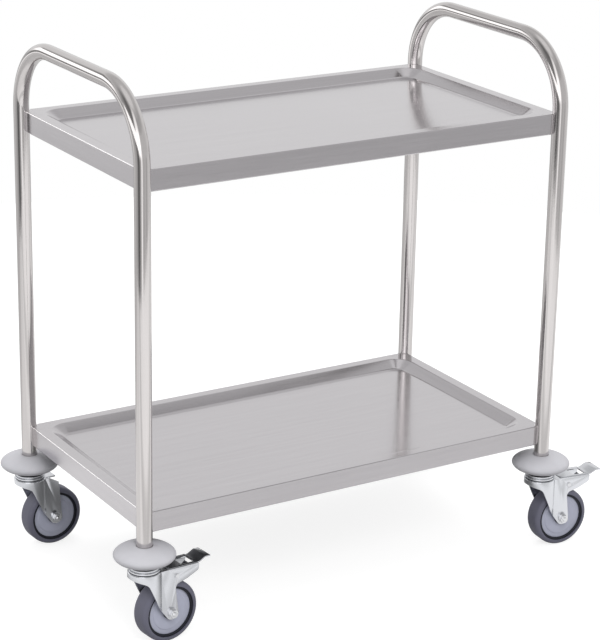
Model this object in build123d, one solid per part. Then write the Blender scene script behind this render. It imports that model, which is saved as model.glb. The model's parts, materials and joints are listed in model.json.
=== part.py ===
from build123d import *
from math import asin, atan2, cos, hypot, sin, sqrt
import os

# Two-tier stainless steel serving trolley on four swivel castors, in millimetres.
# The origin is on the floor midway between the four legs. X runs along the trays, Y from front to back, Z up.

# Frame: two bent tubes, each with two legs and a push handle. The legs run straight up to a little over the rim
# of the upper tray, and the bends of the handle start there.
leg_spacing_length = 760.0
leg_spacing_depth = 420.0
tube_diameter = 25.4
tube_wall = 1.2
overall_height = 890.0
leg_rise_over_rim = 4.3

# Trays: pressed pans with a folded apron.
upper_rim_height = 764.0
lower_rim_height = 221.0
apron_height = 34.0
tray_sheet = 1.0
tray_edge_setback = 1.0
tray_fold_radius = 1.6
rim_width = 19.0
slope_run = 20.0
pan_depth = 12.0
pan_floor_corner_radius = 16.0
hem_width = 9.0
notch_clearance = 0.25

# Fixing of each tray corner to its leg.
corner_plate_thickness = 2.0
corner_plate_height = 16.0
corner_plate_width = 15.0
tray_bolt_diameter = 6.0
tray_bolt_length = 13.0
tray_bolt_head_diameter = 10.5
tray_bolt_head_height = 3.3
tray_bolt_socket = 4.0
tray_bolt_socket_depth = 2.0
tray_insert_wall = 1.6
fit_clearance = 0.06

# Threaded plug in the foot of each leg, and the castor stem that screws into it.
leg_insert_length = 26.0
leg_insert_flange = 2.0
stem_diameter = 12.0
stem_engagement = 20.0
edge_break = 1.0

# Bumper disc round the foot of each leg.
bumper_diameter = 98.0
bumper_rise = 15.0
bumper_drop = 13.0
bumper_floor = 6.0
bumper_foot_diameter = 46.0
bumper_clearance = 0.25

# Wheel.
wheel_diameter = 101.6
tyre_width = 33.0
tyre_shoulder = 7.5
tyre_thickness = 8.3
core_lip = 4.3
core_width = 29.0
core_web = 9.0
hub_diameter = 24.0
hub_side_gap = 0.5
cap_thickness = 2.0
cap_recess = 2.6
cap_boss_diameter = 62.0
cap_boss_rise = 0.8
sleeve_wall = 2.4
running_clearance = 0.08

# Axle.
axle_diameter = 8.0
axle_washer_thickness = 1.6
axle_washer_diameter = 17.0
axle_head_across_flats = 13.0
axle_head_height = 5.3
axle_bolt_end = 8.6

# Castor fork. The lean of its front edge and the wings are drawn from the axle and from the crown's underside.
castor_trail = 38.0
fork_sheet = 2.5
wheel_side_gap = 1.0
crown_diameter = 54.0
crown_clearance = 23.4
crown_edge_radius = 2.0
crown_bore_clearance = 1.4
skirt_depth = 7.0
front_knee = (-47.0, -13.0)
front_bend = (-29.0, -54.0)
front_knee_radius = 14.0
front_bend_radius = 60.0
leg_foot_radius = 11.5
leg_back_reach = 6.0
plain_leg_drop = 10.0
plain_tongue_reach = 2.0
plain_tongue_width = 30.0

# Swivel head.
race_diameter = 51.0
race_rim_height = 3.6
race_height = 12.8
race_boss_diameter = 38.0
race_edge_radius = 1.5
race_gap = 0.7
ball_diameter = 5.0
ball_gap = 0.15
balls_in_row = 16
upper_ball_circle = 36.0
lower_ball_circle = 24.0
upper_ball_lift = 0.4
lower_ball_drop = 1.2
lower_race_diameter = 31.0
lower_race_thickness = 4.4
lower_race_gap = 1.8
stem_head_diameter = 19.0
stem_head_height = 2.4

# Wings and brake of the two front castors, drawn from the axle and from the crown's underside.
wing_root_drop = 28.0
wing_root_radius = 8.0
wing_heel = (29.0, -22.0)
wing_heel_radius = 8.0
wing_tip = (49.5, -13.0)
wing_tip_radius = 4.0
wing_corner_radius = 2.0
wing_reach = 51.0
wing_fall = 2.5
web_reach = -8.0
web_step = 1.0
brake_pivot = (9.0, -13.0)
brake_pin_diameter = 5.0
brake_pin_head_diameter = 7.2
brake_pin_head_height = 1.3
pedal_sheet = 2.0
pedal_side_gap = 0.35
pedal_stand = 0.4
pedal_start = -7.0
pedal_flange_depth = 4.0
pedal_ear_radius = 6.0
pedal_window_start = 23.0
pedal_window_end = 46.0
pedal_window_width = 22.0
pedal_tab_crest = (64.5, 3.8)
pedal_tab_end = (74.0, 3.4)
pedal_tab_root_radius = 12.0
pedal_tab_crest_radius = 6.5
shoe_sheet = 2.0
shoe_width = 18.0
shoe_start = -5.0
shoe_bend = 14.0
shoe_toe = (24.0, -27.3)
shoe_tip = (31.5, -17.0)
shoe_bend_radius = 5.0
shoe_toe_radius = 3.6

# Way each castor trails at rest, in degrees from +X about the leg.
castor_rest_angle = {"front_left": 6.0, "back_left": 3.0, "front_right": -5.0, "back_right": 2.0}
braked_castors = ("front_left", "front_right")

# Places that follow from the sizes above.
tube_radius = tube_diameter / 2
handle_height = overall_height - tube_radius
handle_bend_radius = handle_height - upper_rim_height - leg_rise_over_rim
half_length = leg_spacing_length / 2
half_depth = leg_spacing_depth / 2
leg_places = {
    "front_left": (-half_length, -half_depth, 45),
    "back_left": (-half_length, half_depth, -45),
    "front_right": (half_length, -half_depth, 135),
    "back_right": (half_length, half_depth, -135),
}
wheel_radius = wheel_diameter / 2
crown_foot = wheel_diameter + crown_clearance
crown_top = crown_foot + fork_sheet
race_foot = crown_top + race_gap
bumper_foot = race_foot + race_height
insert_foot = bumper_foot + bumper_floor
leg_foot = insert_foot + leg_insert_flange
fork_inner = tyre_width / 2 + wheel_side_gap
fork_outer = fork_inner + fork_sheet


def ring(outer, inner, low, high):
    """A flat ring or tube about Z, between two heights."""
    return Pos(0, 0, low) * extrude(Circle(outer) - Circle(inner), high - low)


def disc(radius, low, high):
    """A plain disc about Z, between two heights."""
    return Pos(0, 0, low) * extrude(Circle(radius), high - low)


def block(x_range, y_range, z_range):
    """A plain block between two places along each axis."""
    sizes = [abs(high - low) for low, high in (x_range, y_range, z_range)]
    middle = [(low + high) / 2 for low, high in (x_range, y_range, z_range)]
    return Pos(*middle) * Box(*sizes)


def cross_bar(radius, x, z, reach):
    """A round bar along Y at x, z, reaching the same way to each side."""
    return Pos(x, 0, z) * Rot(90, 0, 0) * extrude(Circle(radius), reach, both=True)


def side_plate(lines, reach):
    """A plate of an outline drawn in the XZ plane, reaching the same way to each side."""
    return extrude(Plane.XZ * make_face(lines), reach, both=True)


def turned(lines):
    """A body turned about Z from half of its section, drawn in the XZ plane."""
    return revolve(Plane.XZ * make_face(lines), Axis.Z)


def at_leg(shape, place):
    """Put a castor piece, made about the swivel axis and trailing to +X, under its leg."""
    x, y, _ = leg_places[place]
    return Pos(x, y, 0) * Rot(0, 0, castor_rest_angle[place]) * shape


def at_corner(shape, place, height):
    """Put a piece of a tray corner on its leg's axis, with the shape's +X towards the middle of the tray."""
    x, y, heading = leg_places[place]
    return Pos(x, y, height) * Rot(0, 0, heading) * shape


def save(name, shapes):
    """Write a piece, or a group of like pieces, as one file of separate solids."""
    solids = [solid for shape in shapes for solid in shape.solids()]
    group = Compound(solids)
    group.label = name
    export_step(group, f"parts/{name}.step")


# Tray corners. A bolt in each corner points at the leg's axis, halfway down the apron's free height.
def bolt_height(rim_height):
    return rim_height - tray_sheet - (pan_depth + apron_height) / 2


bolt_hole_radius = tray_bolt_diameter / 2 + fit_clearance
insert_radius = tray_bolt_diameter / 2 + tray_insert_wall
notch_radius = tube_radius + notch_clearance
plate_inner = notch_radius + tray_sheet + fit_clearance
plate_outer = plate_inner + corner_plate_thickness


def corner_hole(radius):
    return Rot(0, 90, 0) * extrude(Circle(radius), plate_outer)


def corner_plate():
    """A saddle with a curved face on the tray's notch and a flat face under the bolt's head."""
    from_axis = (Align.MIN, Align.CENTER, Align.CENTER)
    plate = Box(plate_outer, corner_plate_width, corner_plate_height, align=from_axis)
    plate -= disc(plate_inner, -corner_plate_height, corner_plate_height)
    return plate - corner_hole(bolt_hole_radius)


def tray_bolt():
    head = disc(tray_bolt_head_diameter / 2, 0, tray_bolt_head_height)
    head = fillet(head.edges().sort_by(Axis.Z)[-1], tray_bolt_head_height / 3)
    socket = extrude(RegularPolygon(tray_bolt_socket / 2, 6, major_radius=False), tray_bolt_head_height)
    head -= Pos(0, 0, tray_bolt_head_height - tray_bolt_socket_depth) * socket
    shank = disc(tray_bolt_diameter / 2 - fit_clearance / 2, -tray_bolt_length, 0)
    shank = chamfer(shank.edges().sort_by(Axis.Z)[0], edge_break / 2)
    return Pos(plate_outer, 0, 0) * Rot(0, 90, 0) * (head + shank)


def tray_bolt_insert():
    """The threaded bush in the leg's wall, flush with the outside of the tube."""
    bolt_end = plate_outer - tray_bolt_length
    bush = Rot(0, 90, 0) * ring(insert_radius, tray_bolt_diameter / 2, bolt_end, tube_radius)
    return bush & disc(tube_radius - fit_clearance, -tube_radius, tube_radius)


# The bent tube frames. Each leg has a hole for the threaded bush of each tray bolt.
def end_frame(side):
    x = side * half_length
    route = FilletPolyline(
        (x, -half_depth, leg_foot),
        (x, -half_depth, handle_height),
        (x, half_depth, handle_height),
        (x, half_depth, leg_foot),
        radius=handle_bend_radius,
    )
    start = Plane(origin=route @ 0, z_dir=route % 0)
    tube = sweep(start * Circle(tube_radius), path=route)
    tube -= sweep(start * Circle(tube_radius - tube_wall), path=route)
    for place, (leg_x, _, _) in leg_places.items():
        if leg_x * side > 0:
            for rim_height in (upper_rim_height, lower_rim_height):
                hole = corner_hole(insert_radius + fit_clearance)
                tube -= at_corner(hole, place, bolt_height(rim_height))
    return tube


def leg_insert():
    bore = tube_radius - tube_wall - fit_clearance
    plug = disc(bore, leg_foot, leg_foot + leg_insert_length)
    plug = chamfer(plug.edges().sort_by(Axis.Z)[-1], edge_break)
    plug += disc(tube_radius, insert_foot, leg_foot)
    return plug - disc(stem_diameter / 2 + fit_clearance, insert_foot, leg_foot + leg_insert_length)


# One tray. The sheet is folded down all round, hemmed inwards, notched round the legs and pressed down in the
# middle to a flat floor.
def tray_outline(inset):
    edge = tray_edge_setback + inset
    outline = Rectangle(leg_spacing_length - 2 * edge, leg_spacing_depth - 2 * edge)
    for x, y, _ in leg_places.values():
        outline -= Pos(x, y) * Circle(notch_radius + inset)
    return outline


def folded_block(inset, height, fold_radius):
    block = extrude(tray_outline(inset), height)
    return fillet(block.edges().group_by(Axis.Z)[-1], fold_radius)


def pan_block(rim_height):
    """The space inside the pan, from the rim down to the floor."""
    mouth_edge = tray_edge_setback + rim_width
    floor_edge = mouth_edge + slope_run
    mouth = RectangleRounded(
        leg_spacing_length - 2 * mouth_edge,
        leg_spacing_depth - 2 * mouth_edge,
        pan_floor_corner_radius + slope_run,
    )
    floor = RectangleRounded(
        leg_spacing_length - 2 * floor_edge, leg_spacing_depth - 2 * floor_edge, pan_floor_corner_radius
    )
    return loft([Pos(0, 0, rim_height - pan_depth) * floor, Pos(0, 0, rim_height) * mouth], ruled=True)


def tray(rim_height):
    foot = rim_height - apron_height
    body = Pos(0, 0, foot) * folded_block(0, apron_height, tray_fold_radius)
    body -= Pos(0, 0, foot) * folded_block(tray_sheet, apron_height - tray_sheet, tray_fold_radius - tray_sheet)
    body += Pos(0, 0, foot) * extrude(tray_outline(0) - tray_outline(hem_width), tray_sheet)
    body += pan_block(rim_height - tray_sheet)
    body -= pan_block(rim_height)
    for place in leg_places:
        body -= at_corner(corner_hole(bolt_hole_radius), place, bolt_height(rim_height))
    return body


# The bumper: a soft lens-shaped disc with a socket for the leg and a floor that the stem passes through.
def bumper():
    rim = bumper_diameter / 2
    foot = bumper_foot_diameter / 2
    socket = tube_radius + bumper_clearance
    bore = stem_diameter / 2 + bumper_clearance
    middle = bumper_foot + bumper_drop
    top = middle + bumper_rise
    under = (foot + rim) / 2
    over = (socket + rim) / 2
    section = [
        Line((bore, bumper_foot), (foot, bumper_foot)),
        Bezier((foot, bumper_foot), (under, bumper_foot), (rim, middle - bumper_drop / 2), (rim, middle)),
        Bezier((rim, middle), (rim, middle + bumper_rise / 2), (over, top), (socket, top)),
        Polyline((socket, top), (socket, insert_foot), (bore, insert_foot), (bore, bumper_foot)),
    ]
    return turned(section)


# The swivel head. The stem is riveted under the lower race and screws into the leg insert, and the fork's crown
# turns between two rows of balls.
ball_radius = ball_diameter / 2
upper_ball_height = crown_top + race_gap / 2 + upper_ball_lift
lower_ball_height = crown_foot - lower_ball_drop
lower_race_top = crown_foot - lower_race_gap
lower_race_foot = lower_race_top - lower_race_thickness
stem_bore = stem_diameter / 2 + fit_clearance


def ball_track(circle, height):
    """The ring-shaped groove that a row of balls runs in."""
    return Pos(0, 0, height) * Torus(circle / 2, ball_radius + ball_gap)


def ball_rows():
    for circle, height in ((upper_ball_circle, upper_ball_height), (lower_ball_circle, lower_ball_height)):
        count = int(balls_in_row * circle / upper_ball_circle)
        for index in range(count):
            yield Rot(0, 0, 360 * index / count) * Pos(circle / 2, 0, height) * Sphere(ball_radius)


def castor_race():
    outer = race_diameter / 2
    boss = race_boss_diameter / 2
    section = Polyline(
        (stem_bore, race_foot),
        (outer, race_foot),
        (outer, race_foot + race_rim_height),
        (boss, bumper_foot - edge_break),
        (boss, bumper_foot),
        (stem_bore, bumper_foot),
        close=True,
    )
    body = turned(section)
    rim = [edge for edge in body.edges().filter_by(GeomType.CIRCLE) if abs(edge.radius - outer) < fit_clearance]
    return fillet(rim, race_edge_radius) - ball_track(upper_ball_circle, upper_ball_height)


def castor_stem():
    head_foot = lower_race_foot - stem_head_height
    stem = disc(stem_diameter / 2, head_foot, leg_foot + stem_engagement)
    stem = chamfer(stem.edges().sort_by(Axis.Z)[-1], edge_break)
    head = disc(stem_head_diameter / 2, head_foot, lower_race_foot)
    return stem + fillet(head.edges().sort_by(Axis.Z)[0], stem_head_height / 2)


def lower_race():
    washer = ring(lower_race_diameter / 2, stem_bore, lower_race_foot, lower_race_top)
    return washer - ball_track(lower_ball_circle, lower_ball_height)


# The fork. Its sheet is drawn over a round crown whose sides run down into two flat legs. The braked fork has
# wings behind the legs and a web behind the crown, and the plain fork has a short tongue there.
def from_crown(point):
    """A side view point given from the axle and from the crown's underside."""
    return (castor_trail + point[0], crown_foot + point[1])


def foot_touch(point, side):
    """Where a line from a side view point touches the round foot of a leg, on its front (-1) or back (1)."""
    across, down = castor_trail - point[0], wheel_radius - point[1]
    reach = hypot(across, down)
    swing = atan2(down, across) + side * asin(leg_foot_radius / reach)
    run = sqrt(reach**2 - leg_foot_radius**2)
    return (point[0] + run * cos(swing), point[1] + run * sin(swing))


def wing_top(x):
    """Height of the braked fork's top edge, which falls from the crown to the end of the wings."""
    crown_edge = crown_diameter / 2
    end = castor_trail + wing_reach
    return crown_foot + web_step - wing_fall * (x - crown_edge) / (end - crown_edge)


def fork_outline(braked):
    edge = crown_diameter / 2
    lid = crown_top + fork_sheet
    skirt = crown_foot - skirt_depth
    bend = from_crown(front_bend)
    leg_top = from_crown((leg_back_reach, -wing_root_drop if braked else -plain_leg_drop))
    front_touch = foot_touch(bend, -1)
    back_touch = foot_touch(leg_top, 1)
    front = FilletPolyline(
        (-edge, skirt),
        from_crown(front_knee),
        bend,
        front_touch,
        radius=[front_knee_radius, front_bend_radius],
    )
    foot = ThreePointArc(front_touch, (castor_trail, wheel_radius - leg_foot_radius), back_touch)
    end = castor_trail + wing_reach
    if braked:
        back = FilletPolyline(
            back_touch,
            leg_top,
            from_crown(wing_heel),
            from_crown(wing_tip),
            (end, wing_top(end)),
            (edge, wing_top(edge)),
            radius=[wing_root_radius, wing_heel_radius, wing_tip_radius, wing_corner_radius],
        )
    else:
        back = Polyline(back_touch, leg_top, (edge, crown_foot))
    lid_line = Polyline(back @ 1, (edge, lid), (-2 * edge, lid), (-2 * edge, skirt), (-edge, skirt))
    return [front, foot, back, lid_line]


def fork(braked):
    radius = crown_diameter / 2
    inner = radius - fork_sheet
    mouth = sqrt(inner**2 - fork_inner**2)
    web_foot = crown_foot + web_step - fork_sheet
    web_top = crown_foot + web_step
    body = disc(radius, 0, crown_top)
    body = fillet(body.edges().sort_by(Axis.Z)[-1], crown_edge_radius)
    body -= disc(inner, 0, crown_foot)
    body -= block((mouth, crown_diameter), (-fork_inner, fork_inner), (0, crown_foot))
    for side in (-1, 1):
        body += block((mouth, 2 * crown_diameter), (side * fork_inner, side * fork_outer), (0, web_top))
    body &= side_plate(fork_outline(braked), crown_diameter)
    if braked:
        body += block((mouth, castor_trail + web_reach), (-fork_outer, fork_outer), (web_foot, web_top))
        body -= cross_bar(brake_pin_diameter / 2 + fit_clearance, *from_crown(brake_pivot), crown_diameter)
    else:
        half_tongue = plain_tongue_width / 2
        tongue_end = castor_trail + plain_tongue_reach
        body += block((mouth, tongue_end), (-half_tongue, half_tongue), (web_foot, web_top))
    body -= cross_bar(axle_diameter / 2 + fit_clearance, castor_trail, wheel_radius, crown_diameter)
    body -= disc(stem_diameter / 2 + crown_bore_clearance, 0, crown_top)
    body -= ball_track(upper_ball_circle, upper_ball_height)
    return body - ball_track(lower_ball_circle, lower_ball_height)


# The wheel: a rubber tyre on a moulded core, closed by a disc on each side, turning on a steel sleeve.
core_radius = wheel_radius - tyre_thickness
sleeve_bore = axle_diameter / 2 + fit_clearance
sleeve_radius = sleeve_bore + sleeve_wall
cap_radius = core_radius - core_lip
cap_face = core_width / 2 - cap_recess


def on_axle(shape):
    """Put a piece made about Z on the axle, with its +Z side to the front."""
    return Pos(castor_trail, 0, wheel_radius) * Rot(90, 0, 0) * shape


def tyre():
    half = tyre_width / 2
    tread = disc(wheel_radius, -half, half)
    tread = fillet(tread.edges().filter_by(GeomType.CIRCLE), tyre_shoulder)
    return on_axle(tread - disc(core_radius, -half, half))


def wheel_core():
    hub_reach = fork_inner - hub_side_gap
    body = ring(core_radius, cap_radius, -core_width / 2, core_width / 2)
    body += disc(cap_radius, -core_web / 2, core_web / 2)
    body += disc(hub_diameter / 2, -hub_reach, hub_reach)
    return on_axle(body - disc(sleeve_radius + running_clearance, -hub_reach, hub_reach))


def wheel_cap():
    """One of the pair of discs, seated in the core's rim and round its hub, with a raised middle."""
    hub_hole = hub_diameter / 2 + fit_clearance
    cap = ring(cap_radius - fit_clearance, hub_hole, cap_face - cap_thickness, cap_face)
    boss = ring(cap_boss_diameter / 2, hub_hole, cap_face, cap_face + cap_boss_rise)
    boss = chamfer(boss.edges().filter_by(GeomType.CIRCLE).sort_by(SortBy.RADIUS)[-1], cap_boss_rise * 0.7)
    return cap + boss


def wheel_caps():
    return [on_axle(wheel_cap()), on_axle(mirror(wheel_cap(), Plane.XY))]


def wheel_sleeve():
    return on_axle(ring(sleeve_radius, sleeve_bore, -fork_inner, fork_inner))


def flanged_hexagon(height):
    """A hexagon with its washer face on the fork."""
    bar = extrude(RegularPolygon(axle_head_across_flats / 2, 6, major_radius=False), height)
    corner = disc(axle_head_across_flats / sqrt(3), 0, height)
    corner = chamfer(corner.edges().filter_by(GeomType.CIRCLE).sort_by(Axis.Z)[-1], edge_break)
    washer = disc(axle_washer_diameter / 2, 0, axle_washer_thickness)
    return Pos(0, 0, fork_outer) * ((bar & corner) + washer)


def axle_bolt():
    """The bolt, with its head at the back of the fork."""
    end = fork_outer + axle_bolt_end
    shank = disc(axle_diameter / 2 - fit_clearance / 2, -end, fork_outer)
    shank = chamfer(shank.edges().sort_by(Axis.Z)[0], edge_break)
    return on_axle(mirror(shank + flanged_hexagon(axle_head_height), Plane.XY))


def axle_nut():
    nut = flanged_hexagon(axle_head_height + axle_washer_thickness)
    return on_axle(nut - disc(axle_diameter / 2, 0, 2 * fork_outer))


# The brake. Treading on the tab tips the pedal about the pin, and the shoe under it comes down on the tyre.
pedal_half_width = fork_inner - pedal_side_gap
pedal_end = castor_trail + wing_reach


def pedal_line(x):
    """Height of the middle of the pedal's sheet."""
    return wing_top(x) + pedal_stand - pedal_sheet / 2


def bent_strip(lines, thickness, width):
    """A strip of sheet across the castor, bent along a line in the XZ plane."""
    return extrude(Plane.XZ * trace(lines, thickness), width / 2, both=True)


def pedal_flange():
    """One turned-down side of the pedal, with the ear that the pin passes through."""
    start = castor_trail + pedal_start
    depth = pedal_sheet / 2 + pedal_flange_depth
    pivot_x, pivot_z = from_crown(brake_pivot)
    strip = make_face(
        Polyline(
            (start, pedal_line(start)),
            (pedal_end, pedal_line(pedal_end)),
            (pedal_end - pedal_flange_depth, pedal_line(pedal_end) - depth),
            (start + pedal_flange_depth, pedal_line(start) - depth),
            close=True,
        )
    )
    seat_height = pedal_line(pivot_x) - pedal_flange_depth / 2
    seat = Pos(pivot_x, seat_height) * Rectangle(3 * pedal_ear_radius, pedal_sheet)
    ear = make_hull((Pos(pivot_x, pivot_z) * Circle(pedal_ear_radius)).edges() + seat.edges())
    face = strip + ear - Pos(pivot_x, pivot_z) * Circle(brake_pin_diameter / 2 + running_clearance)
    flange = extrude(Plane.XZ * face, pedal_sheet / 2, both=True)
    return Pos(0, pedal_half_width - pedal_sheet / 2, 0) * flange


def brake_pedal():
    start = castor_trail + pedal_start
    window_start = castor_trail + pedal_window_start
    window_end = castor_trail + pedal_window_end
    plate = Line((start, pedal_line(start)), (pedal_end, pedal_line(pedal_end)))
    tab = FilletPolyline(
        (window_end + pedal_sheet / 2, pedal_line(window_end)),
        (pedal_end + pedal_sheet, pedal_line(pedal_end)),
        from_crown(pedal_tab_crest),
        from_crown(pedal_tab_end),
        radius=[pedal_tab_root_radius, pedal_tab_crest_radius],
    )
    half_window = pedal_window_width / 2
    window_foot = pedal_line(window_end) - pedal_sheet
    window_top = pedal_line(window_start) + pedal_sheet
    body = bent_strip(plate, pedal_sheet, 2 * pedal_half_width)
    body -= block((window_start, window_end), (-half_window, half_window), (window_foot, window_top))
    body += bent_strip(tab, pedal_sheet, 2 * pedal_half_width)
    return body + pedal_flange() + mirror(pedal_flange(), Plane.XZ)


def brake_shoe():
    """A leaf held flat under the pedal in front of its window and bent down to a round toe over the tyre."""
    start = castor_trail + shoe_start
    bend = castor_trail + shoe_bend
    drop = (pedal_sheet + shoe_sheet) / 2 + fit_clearance
    leaf = FilletPolyline(
        (start, pedal_line(start) - drop),
        (bend, pedal_line(bend) - drop),
        from_crown(shoe_toe),
        from_crown(shoe_tip),
        radius=[shoe_bend_radius, shoe_toe_radius],
    )
    return bent_strip(leaf, shoe_sheet, shoe_width)


def brake_pin():
    """A rivet through both wings, with a round head on each side."""
    x, z = from_crown(brake_pivot)
    reach = fork_outer + brake_pin_head_height
    pin = cross_bar(brake_pin_diameter / 2, x, z, reach)
    head = cross_bar(brake_pin_head_diameter / 2, x, z, reach)
    head -= cross_bar(brake_pin_head_diameter, x, z, fork_outer)
    return pin + fillet(head.edges().filter_by(GeomType.CIRCLE).group_by(Axis.Y)[0], brake_pin_head_height / 2)


os.makedirs("parts", exist_ok=True)
save("left_frame", [end_frame(-1)])
save("right_frame", [end_frame(1)])
for name, rim_height in (("upper_tray", upper_rim_height), ("lower_tray", lower_rim_height)):
    height = bolt_height(rim_height)
    save(name, [tray(rim_height)])
    save(f"{name}_corner_plates", [at_corner(corner_plate(), place, height) for place in leg_places])
    save(f"{name}_bolts", [at_corner(tray_bolt(), place, height) for place in leg_places])
save(
    "tray_bolt_inserts",
    [
        at_corner(tray_bolt_insert(), place, bolt_height(rim_height))
        for place in leg_places
        for rim_height in (upper_rim_height, lower_rim_height)
    ],
)
save("leg_inserts", [at_leg(leg_insert(), place) for place in leg_places])
save("castor_lower_races", [at_leg(lower_race(), place) for place in leg_places])
save("swivel_balls", [at_leg(ball, place) for place in leg_places for ball in ball_rows()])
for place in leg_places:
    braked = place in braked_castors
    pieces = {
        "bumper": [bumper()],
        "castor_stem": [castor_stem()],
        "castor_race": [castor_race()],
        "fork": [fork(braked)],
        "axle_bolt": [axle_bolt()],
        "axle_nut": [axle_nut()],
        "wheel_sleeve": [wheel_sleeve()],
        "tyre": [tyre()],
        "wheel_core": [wheel_core()],
        "wheel_caps": wheel_caps(),
    }
    if braked:
        pieces["brake_pedal"] = [brake_pedal()]
        pieces["brake_shoe"] = [brake_shoe()]
        pieces["brake_pin"] = [brake_pin()]
    for name, shapes in pieces.items():
        save(f"{name}_{place}", [at_leg(shape, place) for shape in shapes])
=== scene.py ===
import json
from math import asin, atan2, cos, degrees, hypot, pi, radians, sin, sqrt

import bmesh
import bpy
from mathutils import Matrix, Vector, geometry

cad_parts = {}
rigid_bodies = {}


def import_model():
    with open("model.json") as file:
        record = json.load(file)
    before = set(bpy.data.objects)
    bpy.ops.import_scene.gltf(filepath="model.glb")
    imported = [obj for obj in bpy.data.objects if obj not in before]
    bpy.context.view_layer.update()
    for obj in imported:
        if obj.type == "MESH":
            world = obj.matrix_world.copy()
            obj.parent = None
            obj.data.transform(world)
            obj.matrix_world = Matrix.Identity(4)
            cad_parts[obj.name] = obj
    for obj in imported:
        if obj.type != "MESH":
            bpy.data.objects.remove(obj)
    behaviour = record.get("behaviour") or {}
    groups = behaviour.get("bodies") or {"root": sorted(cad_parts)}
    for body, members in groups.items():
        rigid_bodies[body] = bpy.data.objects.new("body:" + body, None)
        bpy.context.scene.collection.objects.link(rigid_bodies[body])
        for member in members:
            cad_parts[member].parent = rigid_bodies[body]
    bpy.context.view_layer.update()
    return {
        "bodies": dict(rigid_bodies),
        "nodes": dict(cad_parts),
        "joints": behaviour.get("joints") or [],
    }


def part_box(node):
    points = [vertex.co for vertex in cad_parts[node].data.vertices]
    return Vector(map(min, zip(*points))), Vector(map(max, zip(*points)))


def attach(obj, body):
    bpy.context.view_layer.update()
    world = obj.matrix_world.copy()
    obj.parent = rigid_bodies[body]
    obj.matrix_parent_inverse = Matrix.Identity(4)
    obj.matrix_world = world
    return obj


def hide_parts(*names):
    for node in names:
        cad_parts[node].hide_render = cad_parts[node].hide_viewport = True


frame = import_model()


# The trolley's two end frames. Each is one length of stainless steel tube bent twice, into a front leg, a
# push handle and a back leg, and polished lengthwise. Its feet stand in the bumpers.
tube_wall = 0.0012
handle_bend = 0.109
tube_sides = 72
bend_steps = 36
steel_shade = (0.600, 0.575, 0.570, 1)
streaks_across = 260
streaks_along = 5
tube_smears = 14.0
tube_roughness = (0.06, 0.12)
smear_roughness = 0.04
tube_relief = 0.000012
crease = 35


def is_edge(element):
    return isinstance(element, bmesh.types.BMEdge)


def is_vert(element):
    return isinstance(element, bmesh.types.BMVert)


def drawn_out(mesh, edges, offset):
    """Draw a ring of edges out by an offset and give back its far ring."""
    made = bmesh.ops.extrude_edge_only(mesh, edges=edges)["geom"]
    far = set(filter(is_vert, made))
    bmesh.ops.translate(mesh, verts=list(far), vec=offset)
    return [edge for edge in filter(is_edge, made) if set(edge.verts) <= far]


def swung(mesh, edges, centre, axis, angle, steps):
    """Bend a ring of edges round a centre and give back its far ring."""
    turn = bmesh.ops.spin(mesh, geom=edges, cent=centre, axis=axis, angle=angle, steps=steps)
    return list(filter(is_edge, turn["geom_last"]))


class Wire:
    """One output in a material's nodes. Arithmetic on it adds the nodes that work it out."""

    def __init__(self, tree, socket=None):
        self.tree = tree
        self.socket = socket

    def node(self, kind, settings=None, sockets=None, output=0):
        """Add a node, give it its settings and then the values or links of its sockets."""
        made = self.tree.nodes.new(kind)
        for name, value in (settings or {}).items():
            if name == "stops":
                for index, (place, shade) in enumerate(value):
                    stops = made.color_ramp.elements
                    stop = stops[index] if index < len(stops) else stops.new(place)
                    stop.position = place
                    stop.color = (shade, shade, shade, 1)
            else:
                setattr(made, name, value)
        for name, value in (sockets or {}).items():
            if isinstance(value, Wire):
                self.tree.links.new(value.socket, made.inputs[name])
            else:
                made.inputs[name].default_value = value
        return Wire(self.tree, made.outputs[output])

    def sum_of(self, operation, *terms):
        return self.node("ShaderNodeMath", {"operation": operation}, dict(enumerate(terms)))

    def __add__(self, other):
        return self.sum_of("ADD", self, other)

    def __radd__(self, other):
        return self.sum_of("ADD", other, self)

    def __sub__(self, other):
        return self.sum_of("SUBTRACT", self, other)

    def __rsub__(self, other):
        return self.sum_of("SUBTRACT", other, self)

    def __mul__(self, other):
        return self.sum_of("MULTIPLY", self, other)

    def __rmul__(self, other):
        return self.sum_of("MULTIPLY", other, self)

    def sized(self):
        return self.sum_of("ABSOLUTE", self)

    def over(self, level):
        """1 where this is above a level and 0 elsewhere."""
        return self.sum_of("GREATER_THAN", self, level)

    def part(self, axis):
        """This vector's coordinate along one axis."""
        return self.node("ShaderNodeSeparateXYZ", None, {"Vector": self}, axis)

    def stretched(self, scales):
        """These coordinates, stretched by a scale along each axis."""
        return self.node("ShaderNodeMapping", {"vector_type": "POINT"}, {"Vector": self, "Scale": scales})

    def cloud(self, scale, detail=3.0, roughness=0.5):
        """Soft noise from 0 to 1 at these coordinates, with so many patches to the metre."""
        values = {"Vector": self, "Scale": scale, "Detail": detail, "Roughness": roughness}
        return self.node("ShaderNodeTexNoise", None, values)

    def spread(self, low, high):
        """A value that ran from 0.3 to 0.7, as noise mostly does, run from low to high."""
        values = {"Value": self, "From Min": 0.3, "From Max": 0.7, "To Min": low, "To Max": high}
        return self.node("ShaderNodeMapRange", None, values)

    def blend(self, shade_a, shade_b):
        """The colour that is shade_a where this is 0 and shade_b where it is 1."""
        return self.node("ShaderNodeMix", {"data_type": "RGBA"}, {0: self, 6: shade_a, 7: shade_b}, output=2)

    def relief(self, depth, strength=1.0):
        """The surface normal for this height, with a depth in metres."""
        return self.node("ShaderNodeBump", None, {"Height": self, "Distance": depth, "Strength": strength})


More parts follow.
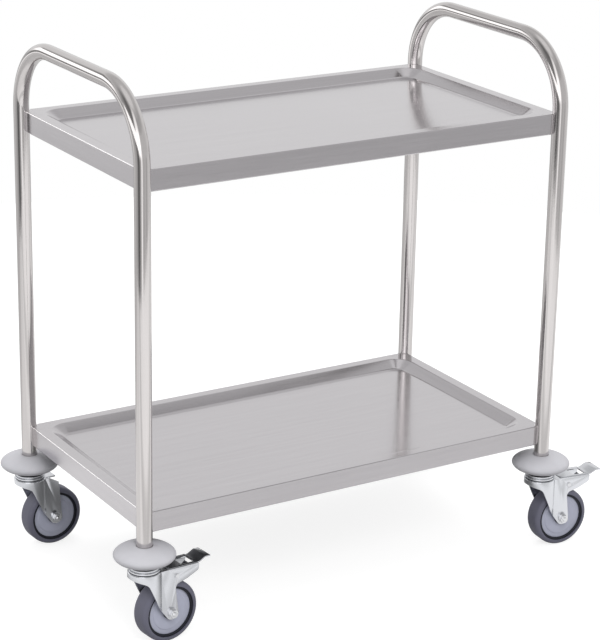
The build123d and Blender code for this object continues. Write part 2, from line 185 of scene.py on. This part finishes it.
class Finish:
    """A material under way: its shader and its object coordinates."""

    def __init__(self, name, **constants):
        self.material = bpy.data.materials.new(name)
        self.material.use_nodes = True
        tree = self.material.node_tree
        self.shader = tree.nodes["Principled BSDF"]
        self.place = Wire(tree).node("ShaderNodeTexCoord", output="Object")
        for name, value in constants.items():
            self.shader.inputs[name.replace("_", " ").title().replace("Ior", "IOR")].default_value = value

    def link(self, name, wire):
        self.shader.id_data.links.new(wire.socket, self.shader.inputs[name])


def piece(name, mesh, finish, body, nodes):
    """Make a finished mesh one of the trolley's pieces, in the place of the nodes that it stands for."""
    data = bpy.data.meshes.new(name)
    mesh.to_mesh(data)
    mesh.free()
    data.materials.append(finish)
    data.polygons.foreach_set("use_smooth", [True] * len(data.polygons))
    data.set_sharp_from_angle(angle=radians(crease))
    made = bpy.data.objects.new(name, data)
    bpy.context.scene.collection.objects.link(made)
    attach(made, body)
    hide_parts(*nodes)
    return made


def dimmed(shade, share):
    """A colour at a share of its strength."""
    return (*[share * part for part in shade[:3]], 1)


def steady_normals(made):
    """Let the large flat faces settle the shading at their edges."""
    modifier = made.modifiers.new("flat faces stay flat", "WEIGHTED_NORMAL")
    modifier.weight = 100
    modifier.keep_sharp = True


def polished_tube():
    finish = Finish("polished tube", metallic=1.0)
    legs = finish.place.stretched((streaks_across, streaks_across, streaks_along)).cloud(1.0, detail=4.0)
    handle = finish.place.stretched((streaks_across, streaks_along, streaks_across)).cloud(1.0, detail=4.0)
    height = finish.place.part("Z")
    span = {"Value": height, "From Min": bend_foot, "From Max": handle_top - 2 * tube_radius}
    upper = height.node("ShaderNodeMapRange", None, span)
    streak = legs + (handle - legs) * upper
    smear = finish.place.cloud(tube_smears)
    finish.link("Base Color", streak.spread(0, 1).blend(dimmed(steel_shade, 0.93), steel_shade))
    finish.link("Roughness", streak.spread(*tube_roughness) + smear.spread(0, smear_roughness))
    finish.link("Normal", streak.relief(tube_relief))
    return finish.material


def end_frame(low, high):
    """A ring drawn up the front leg, round both handle bends and down the back leg, then given its wall."""
    x = (low.x + high.x) / 2
    inward = tube_radius + handle_bend
    mesh = bmesh.new()
    foot = Matrix.Translation((x, low.y + tube_radius, low.z))
    bmesh.ops.create_circle(mesh, segments=tube_sides, radius=tube_radius, matrix=foot)
    ring = mesh.edges[:]
    ring = drawn_out(mesh, ring, (0, 0, bend_foot - low.z))
    ring = swung(mesh, ring, (x, low.y + inward, bend_foot), (-1, 0, 0), pi / 2, bend_steps)
    ring = drawn_out(mesh, ring, (0, high.y - low.y - 2 * inward, 0))
    ring = swung(mesh, ring, (x, high.y - inward, bend_foot), (-1, 0, 0), pi / 2, bend_steps)
    drawn_out(mesh, ring, (0, 0, low.z - bend_foot))
    bmesh.ops.recalc_face_normals(mesh, faces=mesh.faces)
    bmesh.ops.solidify(mesh, geom=mesh.faces[:], thickness=tube_wall)
    return mesh


left_low, left_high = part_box("left_frame")
tube_radius = (left_high.x - left_low.x) / 2
handle_top = left_high.z
bend_foot = handle_top - tube_radius - handle_bend
leg_x = -left_low.x - tube_radius
leg_y = -left_low.y - tube_radius
tube_finish = polished_tube()
for name in ("left_frame", "right_frame"):
    piece(f"{name}_tube", end_frame(*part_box(name)), tube_finish, "frame", [name])


# The two trays. Each is pressed from one stainless steel sheet: a flat rim, a wall that slopes down to a flat
# floor with round corners, an apron folded down all round and hemmed under, and a notch round each leg. The
# sheet is brushed along the tray, and its outer folds at the ends are lightened as a painted highlight. The
# lower tray's underside is darkened as painted shade.
tray_sheet = 0.001
tray_setback = 0.001
notch_gap = 0.00025
rim_width = 0.019
slope_run = 0.020
pan_depth = 0.012
floor_corner = 0.016
hem_width = 0.009
rim_fold = 0.0016
mouth_fold = 0.0012
floor_fold = 0.0022
fold_steps = 5
corner_steps = 16
same_place = 1e-6
same_height = 1e-5
least_fold = 0.1
sheet_shade = (0.565, 0.545, 0.562, 1)
# painted highlight: the colour that the upward and outward facing folds at the tray's ends are lightened to
painted_highlight_shade = (0.95, 0.93, 0.94, 1)
# painted shade: the lower tray's underside is far darker than the upper one's, for the shade near the floor
underside_shades_with_painted_shade = {"upper_tray": (0.42, 0.41, 0.42, 1), "lower_tray": (0.15, 0.15, 0.155, 1)}
sheet_roughness = 0.14
underside_roughness = 0.35
roughness_play = 0.03
end_lean = 0.45
painted_highlight_lean = 0.25
fine_grain = (14, 900)
broad_grain = (2.5, 110)
fine_share = 0.6
sheet_smears = 6.0
sheet_relief = 0.000006


def corner_line(mesh, centre, start, angle, ends):
    """A quarter of an outline: an arc round a tray corner, with a straight line out to each end."""
    arc = [bmesh.ops.create_vert(mesh, co=start)["vert"][0]]
    step = angle / corner_steps
    for _ in range(corner_steps):
        turn = bmesh.ops.spin(mesh, geom=arc[-1:], cent=centre, axis=(0, 0, 1), angle=step, steps=1)
        arc += filter(is_vert, turn["geom_last"])
    first, last = bmesh.ops.extrude_vert_indiv(mesh, verts=[arc[0], arc[-1]])["verts"]
    first.co, last.co = ends
    arc = [first, *arc, last]
    return [mesh.edges.get(pair) for pair in zip(arc, arc[1:])]


def notched_line(mesh, inset, z):
    """The tray's outline, drawn in by an inset, with its notch round a leg."""
    edge = tray_setback + inset
    notch = tube_radius + notch_gap + inset
    side = sqrt(notch ** 2 - edge ** 2)
    sweep = pi / 2 - 2 * asin(edge / notch)
    ends = ((0, leg_y - edge, z), (leg_x - edge, 0, z))
    return corner_line(mesh, (leg_x, leg_y, z), (leg_x - side, leg_y - edge, z), sweep, ends)


def rounded_line(mesh, inset, corner, z):
    """A straight outline with round corners, drawn in from the tray's edge by an inset."""
    x = leg_x - tray_setback - inset
    y = leg_y - tray_setback - inset
    ends = ((0, y, z), (x, 0, z))
    return corner_line(mesh, (x - corner, y - corner, z), (x - corner, y, z), -pi / 2, ends)


def folded(mesh, edges, width, steps):
    """Round the sheet over a fold."""
    bmesh.ops.bevel(mesh, geom=edges, offset=width, segments=steps, profile=0.5, affect="EDGES", material=-1)


def folds(mesh, z, inner=False):
    """The sharp folds at a height, either those at the tray's outline or those inside its rim."""
    found = []
    for edge in mesh.edges:
        reach = [max(abs(vert.co.x) - leg_x, abs(vert.co.y) - leg_y) for vert in edge.verts]
        level = all(abs(vert.co.z - z) < same_height for vert in edge.verts)
        if level and edge.calc_face_angle(0) > least_fold:
            if (max(reach) < -rim_width) == inner:
                found.append(edge)
    return found


def tray(low, high):
    """A quarter of the sheet bridged between its outlines, mirrored twice, floored, folded and thickened."""
    mesh = bmesh.new()
    floor_z = high.z - pan_depth
    lines = [
        notched_line(mesh, hem_width, low.z),
        notched_line(mesh, 0, low.z),
        notched_line(mesh, 0, high.z),
        rounded_line(mesh, rim_width, floor_corner + slope_run, high.z),
        rounded_line(mesh, rim_width + slope_run, floor_corner, floor_z),
    ]
    for lower, upper in zip(lines, lines[1:]):
        bmesh.ops.bridge_loops(mesh, edges=lower + upper)
    for axis in "XY":
        whole = mesh.verts[:] + mesh.edges[:] + mesh.faces[:]
        bmesh.ops.mirror(mesh, geom=whole, merge_dist=0, axis=axis)
        bmesh.ops.remove_doubles(mesh, verts=mesh.verts, dist=same_place)
    floor_edges = [e for e in mesh.edges if e.is_boundary and abs(e.verts[0].co.z - floor_z) < same_height]
    bmesh.ops.contextual_create(mesh, geom=floor_edges)
    bmesh.ops.recalc_face_normals(mesh, faces=mesh.faces)
    folded(mesh, folds(mesh, floor_z, inner=True), floor_fold, fold_steps)
    folded(mesh, folds(mesh, high.z, inner=True), mouth_fold, fold_steps)
    folded(mesh, folds(mesh, high.z), rim_fold, fold_steps)
    folded(mesh, folds(mesh, low.z), rim_fold, fold_steps)
    outside = set(mesh.faces)
    bmesh.ops.solidify(mesh, geom=mesh.faces[:], thickness=tray_sheet)
    for face in set(mesh.faces) - outside:
        face.material_index = 1
    return mesh


def grain_at(along, over, patches):
    """Streaks along one coordinate, with so many patches to the metre along it and over the other."""
    flat = along.node("ShaderNodeCombineXYZ", None, {"X": along * patches[0], "Y": over * patches[1]})
    return flat.cloud(1.0)


def brushed_sheet(name, shade, roughness):
    """Sheet brushed along the tray's length, and along its end aprons and slopes."""
    finish = Finish(name, metallic=1.0)
    x, y, z = map(finish.place.part, "XYZ")
    lean, rise = map(finish.place.node("ShaderNodeNewGeometry", output="Normal").part, "XZ")
    end = lean.sized().over(end_lean)
    # painted highlight: a mask over the outward and upward facing folds along the tops of the end aprons
    painted_highlight = (lean * x).over(0) * lean.sized().over(painted_highlight_lean) * rise.over(painted_highlight_lean)
    along = x + (y - x) * end
    over = y + (x - y) * end + z
    fine = grain_at(along, over, fine_grain)
    broad = grain_at(along, over, broad_grain)
    grain = fine * fine_share + broad * (1 - fine_share)
    smear = finish.place.cloud(sheet_smears, detail=4.0)
    brushed = grain.spread(0, 1).blend(dimmed(shade, 0.91), shade)
    dullness = grain.spread(roughness - roughness_play, roughness + roughness_play)
    finish.link("Base Color", painted_highlight.blend(brushed, painted_highlight_shade))
    finish.link("Roughness", dullness + smear.spread(0, smear_roughness))
    finish.link("Normal", grain.relief(sheet_relief))
    return finish.material


sheet_finish = brushed_sheet("brushed sheet", sheet_shade, sheet_roughness)
# the lower tray's underside gets the darker colour, which is painted shade
for name, shade in underside_shades_with_painted_shade.items():
    made = piece(f"{name}_pan", tray(*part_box(name)), sheet_finish, "frame", [name])
    made.data.materials.append(brushed_sheet(f"{name} underside", shade, underside_roughness))
    steady_normals(made)


# The bumpers. Each is a soft grey plastic disc moulded round a socket, which the foot of a leg stands in. The
# castor's stem goes up through its foot and holds it against the leg.
bumper_radius = 0.049
bumper_foot_radius = 0.023
bumper_low = 0.141
bumper_middle = 0.154
bumper_top = 0.169
bumper_floor = 0.147
socket_radius = 0.01295
stem_hole = 0.00625
bumper_ease = 0.0006
bumper_curve = 15
turned_sides = 96
bumper_shade = (0.525, 0.522, 0.555, 1)
bumper_patches = 30.0
plastic_grit = 2600.0
bumper_roughness = (0.42, 0.52)
dust_roughness = 0.06
bumper_relief = 0.00003
places = ("front_left", "back_left", "front_right", "back_right")


def turned(points, sides):
    """A body turned about Z from the points of its closed section, each a radius and a height."""
    mesh = bmesh.new()
    verts = [mesh.verts.new((radius, 0, z)) for radius, z in points]
    edges = [mesh.edges.new(pair) for pair in zip(verts, verts[1:] + verts[:1])]
    bmesh.ops.spin(
        mesh, geom=verts + edges, cent=(0, 0, 0), axis=(0, 0, 1), angle=2 * pi, steps=sides, use_merge=True
    )
    bmesh.ops.remove_doubles(mesh, verts=mesh.verts, dist=same_place)
    bmesh.ops.recalc_face_normals(mesh, faces=mesh.faces)
    return mesh


def eased(mesh, width, steps=3, sharp=25):
    """Round every edge that turns by more than an angle in degrees."""
    edges = [edge for edge in mesh.edges if edge.is_manifold and edge.calc_face_angle(0) > radians(sharp)]
    folded(mesh, edges, width, steps)


def castor_frame(place):
    """The place of a castor's swivel axis at floor height, turned the way that the castor trails."""
    joints = {joint["name"]: joint for joint in frame["joints"]}
    x, y, _ = joints[f"castor_{place}_swivel"]["pos_m"]
    across = joints[f"wheel_{place}_spin"]["axis"]
    return Matrix.Translation((x, y, 0)) @ Matrix.Rotation(atan2(-across[0], across[1]), 4, "Z")


def bumper():
    """The lens section, drawn as two curves that meet at the rim, with the socket inside."""
    upper = [(bumper_radius, bumper_middle), (bumper_radius, (bumper_middle + bumper_top) / 2)]
    upper += [((socket_radius + bumper_radius) / 2, bumper_top), (socket_radius, bumper_top)]
    lower = [(bumper_foot_radius, bumper_low), ((bumper_foot_radius + bumper_radius) / 2, bumper_low)]
    lower += [(bumper_radius, (bumper_low + bumper_middle) / 2), (bumper_radius, bumper_middle)]
    curve = [
        tuple(point)[:2]
        for corners in (lower, upper)
        for point in geometry.interpolate_bezier(*[Vector((*corner, 0)) for corner in corners], bumper_curve)
    ]
    inside = [(socket_radius, bumper_floor), (stem_hole, bumper_floor), (stem_hole, bumper_low)]
    mesh = turned([*curve, *inside], turned_sides)
    eased(mesh, bumper_ease)
    return mesh


def bumper_plastic():
    finish = Finish("bumper plastic", ior=1.46)
    patches = finish.place.cloud(bumper_patches, detail=4.0)
    grit = finish.place.cloud(plastic_grit, detail=2.0)
    finish.link("Base Color", patches.spread(0, 1).blend(dimmed(bumper_shade, 0.93), bumper_shade))
    finish.link("Roughness", grit.spread(*bumper_roughness) + patches.spread(0, dust_roughness))
    finish.link("Normal", grit.relief(bumper_relief))
    return finish.material


bumper_finish = bumper_plastic()
for place in places:
    mesh = bumper()
    bmesh.ops.transform(mesh, matrix=castor_frame(place), verts=mesh.verts)
    piece(f"bumper_{place}_disc", mesh, bumper_finish, "frame", [f"bumper_{place}"])


# The wheels. A slate grey rubber tyre is moulded on a black plastic core, whose lip shows beside the tyre. A
# grey plastic disc with a raised middle is pressed into each side of the core.
wheel_radius = 0.0508
tyre_half = 0.0165
tyre_shoulder = 0.0075
core_radius = 0.0425
core_half = 0.0145
cap_radius = 0.0382
web_half = 0.0045
hub_radius = 0.012
hub_half = 0.017
sleeve_hole = 0.00654
cap_face = 0.0119
cap_sheet = 0.002
cap_boss = 0.031
cap_boss_rise = 0.0008
castor_trail = 0.038
tyre_sides = 128
shoulder_steps = 10
square_corner = 1.0
core_ease = 0.0005
cap_ease = 0.0003
tyre_shade = (0.128, 0.128, 0.172, 1)
core_shade = (0.006, 0.007, 0.014, 1)
core_gloss = 0.3
cap_shade = (0.455, 0.470, 0.575, 1)
moulding_patches = 45.0
moulding_play = 0.05


def on_axle(place):
    """The place of a wheel's middle, with Z along its axle to the front."""
    axle = Matrix.Translation((castor_trail, 0, wheel_radius))
    return castor_frame(place) @ axle @ Matrix.Rotation(pi / 2, 4, "X")


def tyre():
    inner = [(core_radius, -tyre_half), (wheel_radius, -tyre_half)]
    mesh = turned([*inner, (wheel_radius, tyre_half), (core_radius, tyre_half)], tyre_sides)
    tread = [e for e in mesh.edges if all(hypot(*v.co.xy) > wheel_radius - same_height for v in e.verts)]
    folded(mesh, [e for e in tread if e.calc_face_angle(0) > square_corner], tyre_shoulder, shoulder_steps)
    return mesh


def wheel_core():
    section = [
        (sleeve_hole, -hub_half), (hub_radius, -hub_half), (hub_radius, -web_half),
        (cap_radius, -web_half), (cap_radius, -core_half), (core_radius, -core_half),
        (core_radius, core_half), (cap_radius, core_half), (cap_radius, web_half),
        (hub_radius, web_half), (hub_radius, hub_half), (sleeve_hole, hub_half),
    ]
    mesh = turned(section, turned_sides)
    eased(mesh, core_ease)
    return mesh


def wheel_caps():
    """A disc with a raised middle, and its mirror image on the other side of the wheel."""
    rise = cap_face + cap_boss_rise
    section = [
        (hub_radius, cap_face - cap_sheet), (cap_radius, cap_face - cap_sheet), (cap_radius, cap_face),
        (cap_boss, cap_face), (cap_boss - cap_boss_rise, rise), (hub_radius, rise),
    ]
    mesh = turned(section, turned_sides)
    eased(mesh, cap_ease, sharp=20)
    bmesh.ops.mirror(mesh, geom=mesh.verts[:] + mesh.edges[:] + mesh.faces[:], merge_dist=0, axis="Z")
    bmesh.ops.recalc_face_normals(mesh, faces=mesh.faces)
    return mesh


def moulded(name, shade, roughness, grain, depth):
    """A moulded plastic or rubber with fine grain and light dust."""
    finish = Finish(name, ior=1.48)
    patches = finish.place.cloud(moulding_patches, detail=4.0)
    grit = finish.place.cloud(grain, detail=2.0)
    dusty = (*[0.92 * part + 0.006 for part in shade[:3]], 1)
    dullness = grit.spread(roughness - moulding_play, roughness + moulding_play)
    finish.link("Base Color", patches.spread(0, 1).blend(dusty, shade))
    finish.link("Roughness", dullness + patches.spread(0, dust_roughness))
    finish.link("Normal", grit.relief(depth))
    return finish.material


tyre_finish = moulded("tyre rubber", tyre_shade, roughness=0.55, grain=1800.0, depth=0.00005)
core_finish = moulded("wheel core", core_shade, roughness=0.38, grain=plastic_grit, depth=0.00002)
core_finish.node_tree.nodes["Principled BSDF"].inputs["Specular IOR Level"].default_value = core_gloss
cap_finish = moulded("wheel cap", cap_shade, roughness=0.38, grain=plastic_grit, depth=0.00002)
wheel_pieces = [
    ("tyre", "rubber", tyre, tyre_finish, "tyre_rubber"),
    ("wheel_core", "moulding", wheel_core, core_finish, "core_plastic"),
    ("wheel_caps", "pair", wheel_caps, cap_finish, "cap_plastic"),
]
for place in places:
    for node, word, made_by, finish, slot in wheel_pieces:
        mesh = made_by()
        bmesh.ops.transform(mesh, matrix=on_axle(place), verts=mesh.verts)
        piece(f"{node}_{place}_{word}", mesh, finish, f"wheel_{place}", [f"{node}_{place}"])


# The zinc plated pressings of the castors: the bearing cups and the forks, and on the front castors the brake
# pedals and the leaves under them. They are cut and bent from steel sheet, so their edges are slightly round.
# The leaves are darkened far below the zinc as painted shade, for the shade inside the pedals' windows.
sheet_ease = 0.0003
node_weld = 2e-6
flat_within = 0.4
crown_foot = 0.125
race_rim = 0.0032
race_groove = 0.0010
race_bead = 0.0030
race_collar = 0.0205
race_ease = 0.0008
collar_shade = (0.02, 0.02, 0.024, 1)
zinc_shade = (0.640, 0.650, 0.680, 1)
zinc_patches = 38.0
zinc_grit = 1500.0
zinc_roughness = (0.13, 0.19)
zinc_relief = 0.000006
leaf_sheet = 0.002
leaf_width = 0.018
leaf_bend = 0.0025
leaf_line = [(-0.005, -0.0019), (0.014, -0.0027), (0.0235, -0.0240), (0.0315, -0.0160), (0.0430, -0.0068)]
# painted shade: the leaves' zinc is far darker than the rest, for the shade in the pedals' windows
leaf_painted_shade = (0.20, 0.20, 0.22, 1)


def pressed(node):
    """A pressing with the node's own shape and with its sheet's edges rounded."""
    mesh = bmesh.new()
    mesh.from_mesh(frame["nodes"][node].data)
    bmesh.ops.remove_doubles(mesh, verts=mesh.verts, dist=node_weld)
    bmesh.ops.dissolve_limit(mesh, angle_limit=radians(flat_within), verts=mesh.verts, edges=mesh.edges)
    eased(mesh, sheet_ease, steps=2, sharp=40)
    return mesh


def zinc_plate(name, shade):
    finish = Finish(name, metallic=1.0)
    patches = finish.place.cloud(zinc_patches)
    grit = finish.place.cloud(zinc_grit, detail=2.0)
    finish.link("Base Color", patches.spread(0, 1).blend(dimmed(shade, 0.95), shade))
    finish.link("Roughness", patches.spread(*zinc_roughness) + grit.spread(0, smear_roughness))
    finish.link("Normal", grit.relief(zinc_relief))
    return finish.material


def brake_leaf():
    """A strip held flat under the pedal, bent down to a toe over the tyre and up again behind the window."""
    mesh = bmesh.new()
    tip = bmesh.ops.create_vert(mesh, co=(leaf_line[0][0], -leaf_width / 2, leaf_line[0][1]))["vert"]
    for x, z in leaf_line[1:]:
        tip = bmesh.ops.extrude_vert_indiv(mesh, verts=tip)["verts"]
        tip[0].co = (x, -leaf_width / 2, z)
    drawn_out(mesh, mesh.edges[:], (0, leaf_width, 0))
    folded(mesh, [edge for edge in mesh.edges if not edge.is_boundary], leaf_bend, fold_steps)
    bmesh.ops.recalc_face_normals(mesh, faces=mesh.faces)
    for vert in mesh.verts:
        vert.co += vert.normal * leaf_sheet / 2
    bmesh.ops.solidify(mesh, geom=mesh.faces[:], thickness=leaf_sheet)
    eased(mesh, sheet_ease, steps=2, sharp=60)
    return mesh


def castor_race(low, high):
    """The upper bearing cup: a bright rolled flange with a dark collar up to the bumper."""
    foot, top = low.z, high.z
    flange = (high.x - low.x) / 2
    neck = flange - race_groove
    groove = neck - race_groove
    shelf = foot + race_rim
    bead = shelf + race_groove
    step = bead + race_bead
    section = [
        (stem_hole, foot), (flange, foot), (flange, shelf), (groove, shelf), (groove, bead),
        (neck, bead), (neck, step), (race_collar, step), (race_collar, top), (stem_hole, top),
    ]
    mesh = turned(section, turned_sides)
    eased(mesh, race_ease, steps=4)
    for face in mesh.faces:
        if face.calc_center_median().z > step:
            face.material_index = 1
    return mesh


zinc_finish = zinc_plate("zinc plate", zinc_shade)
# the leaves' darker zinc is painted shade
leaf_painted_shade_finish = zinc_plate("brake leaf", leaf_painted_shade)
collar_finish = moulded("dark collar", collar_shade, roughness=0.35, grain=plastic_grit, depth=0.00001)
for place in places:
    name = f"castor_race_{place}"
    mesh = castor_race(*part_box(name))
    bmesh.ops.transform(mesh, matrix=castor_frame(place), verts=mesh.verts)
    made = piece(f"{name}_cup", mesh, zinc_finish, "frame", [name])
    made.data.materials.append(collar_finish)
    name = f"fork_{place}"
    piece(f"{name}_pressing", pressed(name), zinc_finish, f"castor_{place}", [name])
    brake = f"brake_{place}"
    if brake in frame["bodies"]:
        name = f"brake_pedal_{place}"
        piece(f"{name}_pressing", pressed(name), zinc_finish, brake, [name])
        name = f"brake_shoe_{place}"
        mesh = brake_leaf()
        under_crown = Matrix.Translation((castor_trail, 0, crown_foot))
        bmesh.ops.transform(mesh, matrix=castor_frame(place) @ under_crown, verts=mesh.verts)
        piece(f"{name}_leaf", mesh, leaf_painted_shade_finish, brake, [name])


# What holds it all together: axle bolts, nuts and sleeves, brake pins, castor stems, lower races and balls,
# and the plates, bolts and bushes behind the tray corners and in the legs. They are turned or pressed from
# bright steel, and keep the shape of their nodes.
bright_shade = (0.720, 0.725, 0.745, 1)
bright_patches = 120.0
scratches_across = 900
scratches_along = 90
bright_roughness = (0.24, 0.34)
bright_relief = 0.00001


def turned_steel():
    finish = Finish("turned steel", metallic=1.0)
    patches = finish.place.cloud(bright_patches)
    scratches = finish.place.stretched((scratches_across, scratches_across, scratches_along)).cloud(1.0)
    finish.link("Base Color", patches.spread(0, 1).blend(dimmed(bright_shade, 0.88), bright_shade))
    finish.link("Roughness", scratches.spread(*bright_roughness))
    finish.link("Normal", scratches.relief(bright_relief))
    return finish.material


bright_finish = turned_steel()
for node in frame["nodes"].values():
    if not node.hide_render:
        node.data.materials.clear()
        node.data.materials.append(bright_finish)


# The studio: a pale floor, white behind the trolley, with a painted shadow under the trolley that only metal
# mirrors, and round it a room of bright and dark bands that only metal mirrors, each a list of places or
# angles with the strength of light there. Soft lamps stand at the front left and overhead, and a long one on
# the left shows in the metal as well.
floor_shade = (0.35, 0.35, 0.35, 1)
floor_reach = 2.2
floor_lift = 0.78
mirrored_lift = 0.70
front_lights = [
    (-1.05, 1.12), (-0.92, 1.12), (-0.74, 0.56), (-0.58, 0.56), (-0.46, 1.05), (-0.32, 1.05), (-0.2, 0.87),
    (0.45, 0.87), (0.75, 0.45),
]
# painted shadow: the oval under the trolley where the floor's light in mirrors is dimmed
painted_shadow_oval = (0.50, 0.34)
painted_shadow_edge = (0.6, 1.25)
painted_shadow_light = 0.06
camera_yaw = 0.5504
camera_pitch = -0.3322
camera_roll = 0.018
camera_place = (-1.82494, -3.00967, 1.62356)
focal_pixels = 2240.667
picture_width = 600
trolley_middle = (0, 0, 0.4)
key_place = (-0.7, -2.5, 2.3)
top_place = (0.3, 0.4, 2.8)
strip_place = (-1.52, -0.40, 1.14)
strip_aim = (0.38, 0.21, 1.14)
ambient_level = 0.80
low_lights = [
    (-180, 0.45), (-150, 0.5), (-132, 0.68), (-122, 0.80), (-112, 0.80), (-97, 0.7), (-67, 0.55), (-55, 0.35),
    (-47, 0.15), (-33, 0.15), (-22, 0.45), (-8, 0.75), (-2, 1.5), (5, 1.5), (12, 0.7), (29, 0.6), (48, 0.75),
    (57, 0.59), (70, 0.59), (82, 0.85), (110, 0.85), (140, 0.9), (180, 0.45),
]
high_lights = [
    (-180, 0.94), (-140, 0.94), (-100, 0.8), (-85, 0.45), (-70, 0.28), (-36, 0.28), (-28, 1.0), (-20, 1.9),
    (2, 1.9), (10, 1.0), (18, 0.72), (80, 0.75), (100, 0.8), (115, 0.94), (180, 0.94),
]
overhead_lights = [(30, 1.0), (36, 0.8), (48, 0.72), (66, 0.72), (72, 0.95), (90, 1.0)]
window_lights = [
    (-18, 1.0), (-13, 1.0), (-12, 1.8), (-8, 1.8), (-7, 0.35), (-1, 0.35), (1, 0.6), (5, 2.4), (18, 2.4),
    (20, 0.35), (27, 0.35), (30, 1.0),
]
window_sides = (-140, -130, -108, -98)
steep_heights = (50.0, 68.0)
horizon_blur = 3.0


def band(wire, stops, span):
    """The strength of light over a span of angles or places, from a list of pairs."""
    brightest = max(strength for _, strength in stops)
    placed = [((angle + span) / (2 * span), strength / brightest) for angle, strength in stops]
    share = wire * (0.5 / span) + 0.5
    return wire.node("ShaderNodeValToRGB", {"stops": placed}, {"Fac": share}) * brightest


def studio_floor():
    """A floor that is nearly white to the camera, with a painted shadow under the trolley that only mirrors
    see.
    """
    mesh = bmesh.new()
    bmesh.ops.create_circle(mesh, cap_ends=True, segments=96, radius=floor_reach)
    data = bpy.data.meshes.new("floor")
    mesh.to_mesh(data)
    mesh.free()
    finish = Finish("studio floor", roughness=0.9, base_color=floor_shade)
    finish.shader.inputs["Specular IOR Level"].default_value = 0.0
    finish.shader.inputs["Emission Color"].default_value = (1, 1, 1, 1)
    camera, glossy, passing = [
        finish.place.node("ShaderNodeLightPath", output=f"Is {kind} Ray")
        for kind in ("Camera", "Glossy", "Transmission")
    ]
    # painted shadow: mirrors see the floor's light dimmed inside this oval under the trolley
    oval = finish.place.stretched((1 / painted_shadow_oval[0], 1 / painted_shadow_oval[1], 0))
    away = oval.node("ShaderNodeVectorMath", {"operation": "LENGTH"}, {"Vector": oval}, "Value")
    shaded = {"Value": away, "From Min": painted_shadow_edge[0], "From Max": painted_shadow_edge[1], "To Min": painted_shadow_light}
    clear = away.node("ShaderNodeMapRange", None, shaded)
    mirrored = (glossy + passing) * clear * band(finish.place.part("Y"), front_lights, floor_reach)
    finish.link("Emission Strength", camera * floor_lift + mirrored * mirrored_lift)
    data.materials.append(finish.material)
    made = bpy.data.objects.new("floor", data)
    bpy.context.scene.collection.objects.link(made)


def studio_world():
    """White to the camera, plain light on the pieces, and the room's bands in what the metal mirrors."""
    world = bpy.data.worlds.new("studio")
    world.use_nodes = True
    tree = world.node_tree
    tree.nodes.clear()
    way = Wire(tree).node("ShaderNodeTexCoord", output="Generated")
    to_camera = (-sin(camera_yaw), -cos(camera_yaw), 0)
    to_right = (cos(camera_yaw), -sin(camera_yaw), 0)
    ahead, across = [
        way.node("ShaderNodeVectorMath", {"operation": "DOT_PRODUCT"}, {0: way, 1: axis}, "Value")
        for axis in (to_camera, to_right)
    ]
    bearing = way.sum_of("ARCTAN2", across, ahead) * degrees(1)
    height = way.sum_of("ARCSINE", way.part("Z")) * degrees(1)
    low = band(bearing, low_lights, 180)
    side = band(bearing, high_lights, 180)
    steep, above = [
        height.node("ShaderNodeMapRange", None, {"Value": height, "From Min": start, "From Max": end})
        for start, end in (steep_heights, (-horizon_blur, horizon_blur))
    ]
    high = (side + (1 - side) * steep) * band(height, overhead_lights, 90)
    room = low + (high - low) * above
    far, start, end, near = window_sides
    window = band(bearing, [(-180, 0), (far, 0), (start, 1), (end, 1), (near, 0), (180, 0)], 180)
    room = room * (1 + window * (band(height, window_lights, 90) - 1))
    glossy = way.node("ShaderNodeLightPath", output="Is Glossy Ray")
    camera = way.node("ShaderNodeLightPath", output="Is Camera Ray")
    light = camera + glossy * room + (1 - glossy - camera) * ambient_level
    shell = way.node("ShaderNodeBackground", None, {"Color": (1, 1, 1, 1), "Strength": light})
    world_output = tree.nodes.new("ShaderNodeOutputWorld")
    tree.links.new(shell.socket, world_output.inputs["Surface"])
    bpy.context.scene.world = world


def soft_lamp(name, place, aim, size, power, mirrored=False):
    """An oblong lamp aimed at a point, which the camera doesn't see."""
    data = bpy.data.lights.new(name, "AREA")
    data.shape = "RECTANGLE"
    data.size, data.size_y = size
    data.energy = power
    lamp = bpy.data.objects.new(name, data)
    turn = (Vector(aim) - Vector(place)).to_track_quat("-Z", "Y").to_matrix().to_4x4()
    lamp.matrix_world = Matrix.Translation(place) @ turn
    bpy.context.scene.collection.objects.link(lamp)
    lamp.visible_camera = False
    lamp.visible_glossy = mirrored


def camera():
    """The photograph's viewpoint, direction, tilt and field of view."""
    ahead = cos(camera_pitch)
    forward = Vector((sin(camera_yaw) * ahead, cos(camera_yaw) * ahead, sin(camera_pitch)))
    level = Vector((cos(camera_yaw), -sin(camera_yaw), 0))
    upright = level.cross(forward)
    right = cos(camera_roll) * level + sin(camera_roll) * upright
    up = cos(camera_roll) * upright - sin(camera_roll) * level
    data = bpy.data.cameras.new("camera")
    data.sensor_fit = "HORIZONTAL"
    data.lens = data.sensor_width * focal_pixels / picture_width
    made = bpy.data.objects.new("camera", data)
    turn = Matrix((right, up, -forward)).transposed().to_4x4()
    made.matrix_world = Matrix.Translation(camera_place) @ turn
    bpy.context.scene.collection.objects.link(made)
    bpy.context.scene.camera = made


studio_floor()
studio_world()
soft_lamp("key lamp", key_place, trolley_middle, size=(1.6, 1.6), power=38)
soft_lamp("top lamp", top_place, trolley_middle, size=(1.8, 1.8), power=35)
soft_lamp("strip lamp", strip_place, strip_aim, size=(2.1, 0.42), power=4.2, mirrored=True)
camera()
bpy.context.scene.view_settings.view_transform = "Standard"
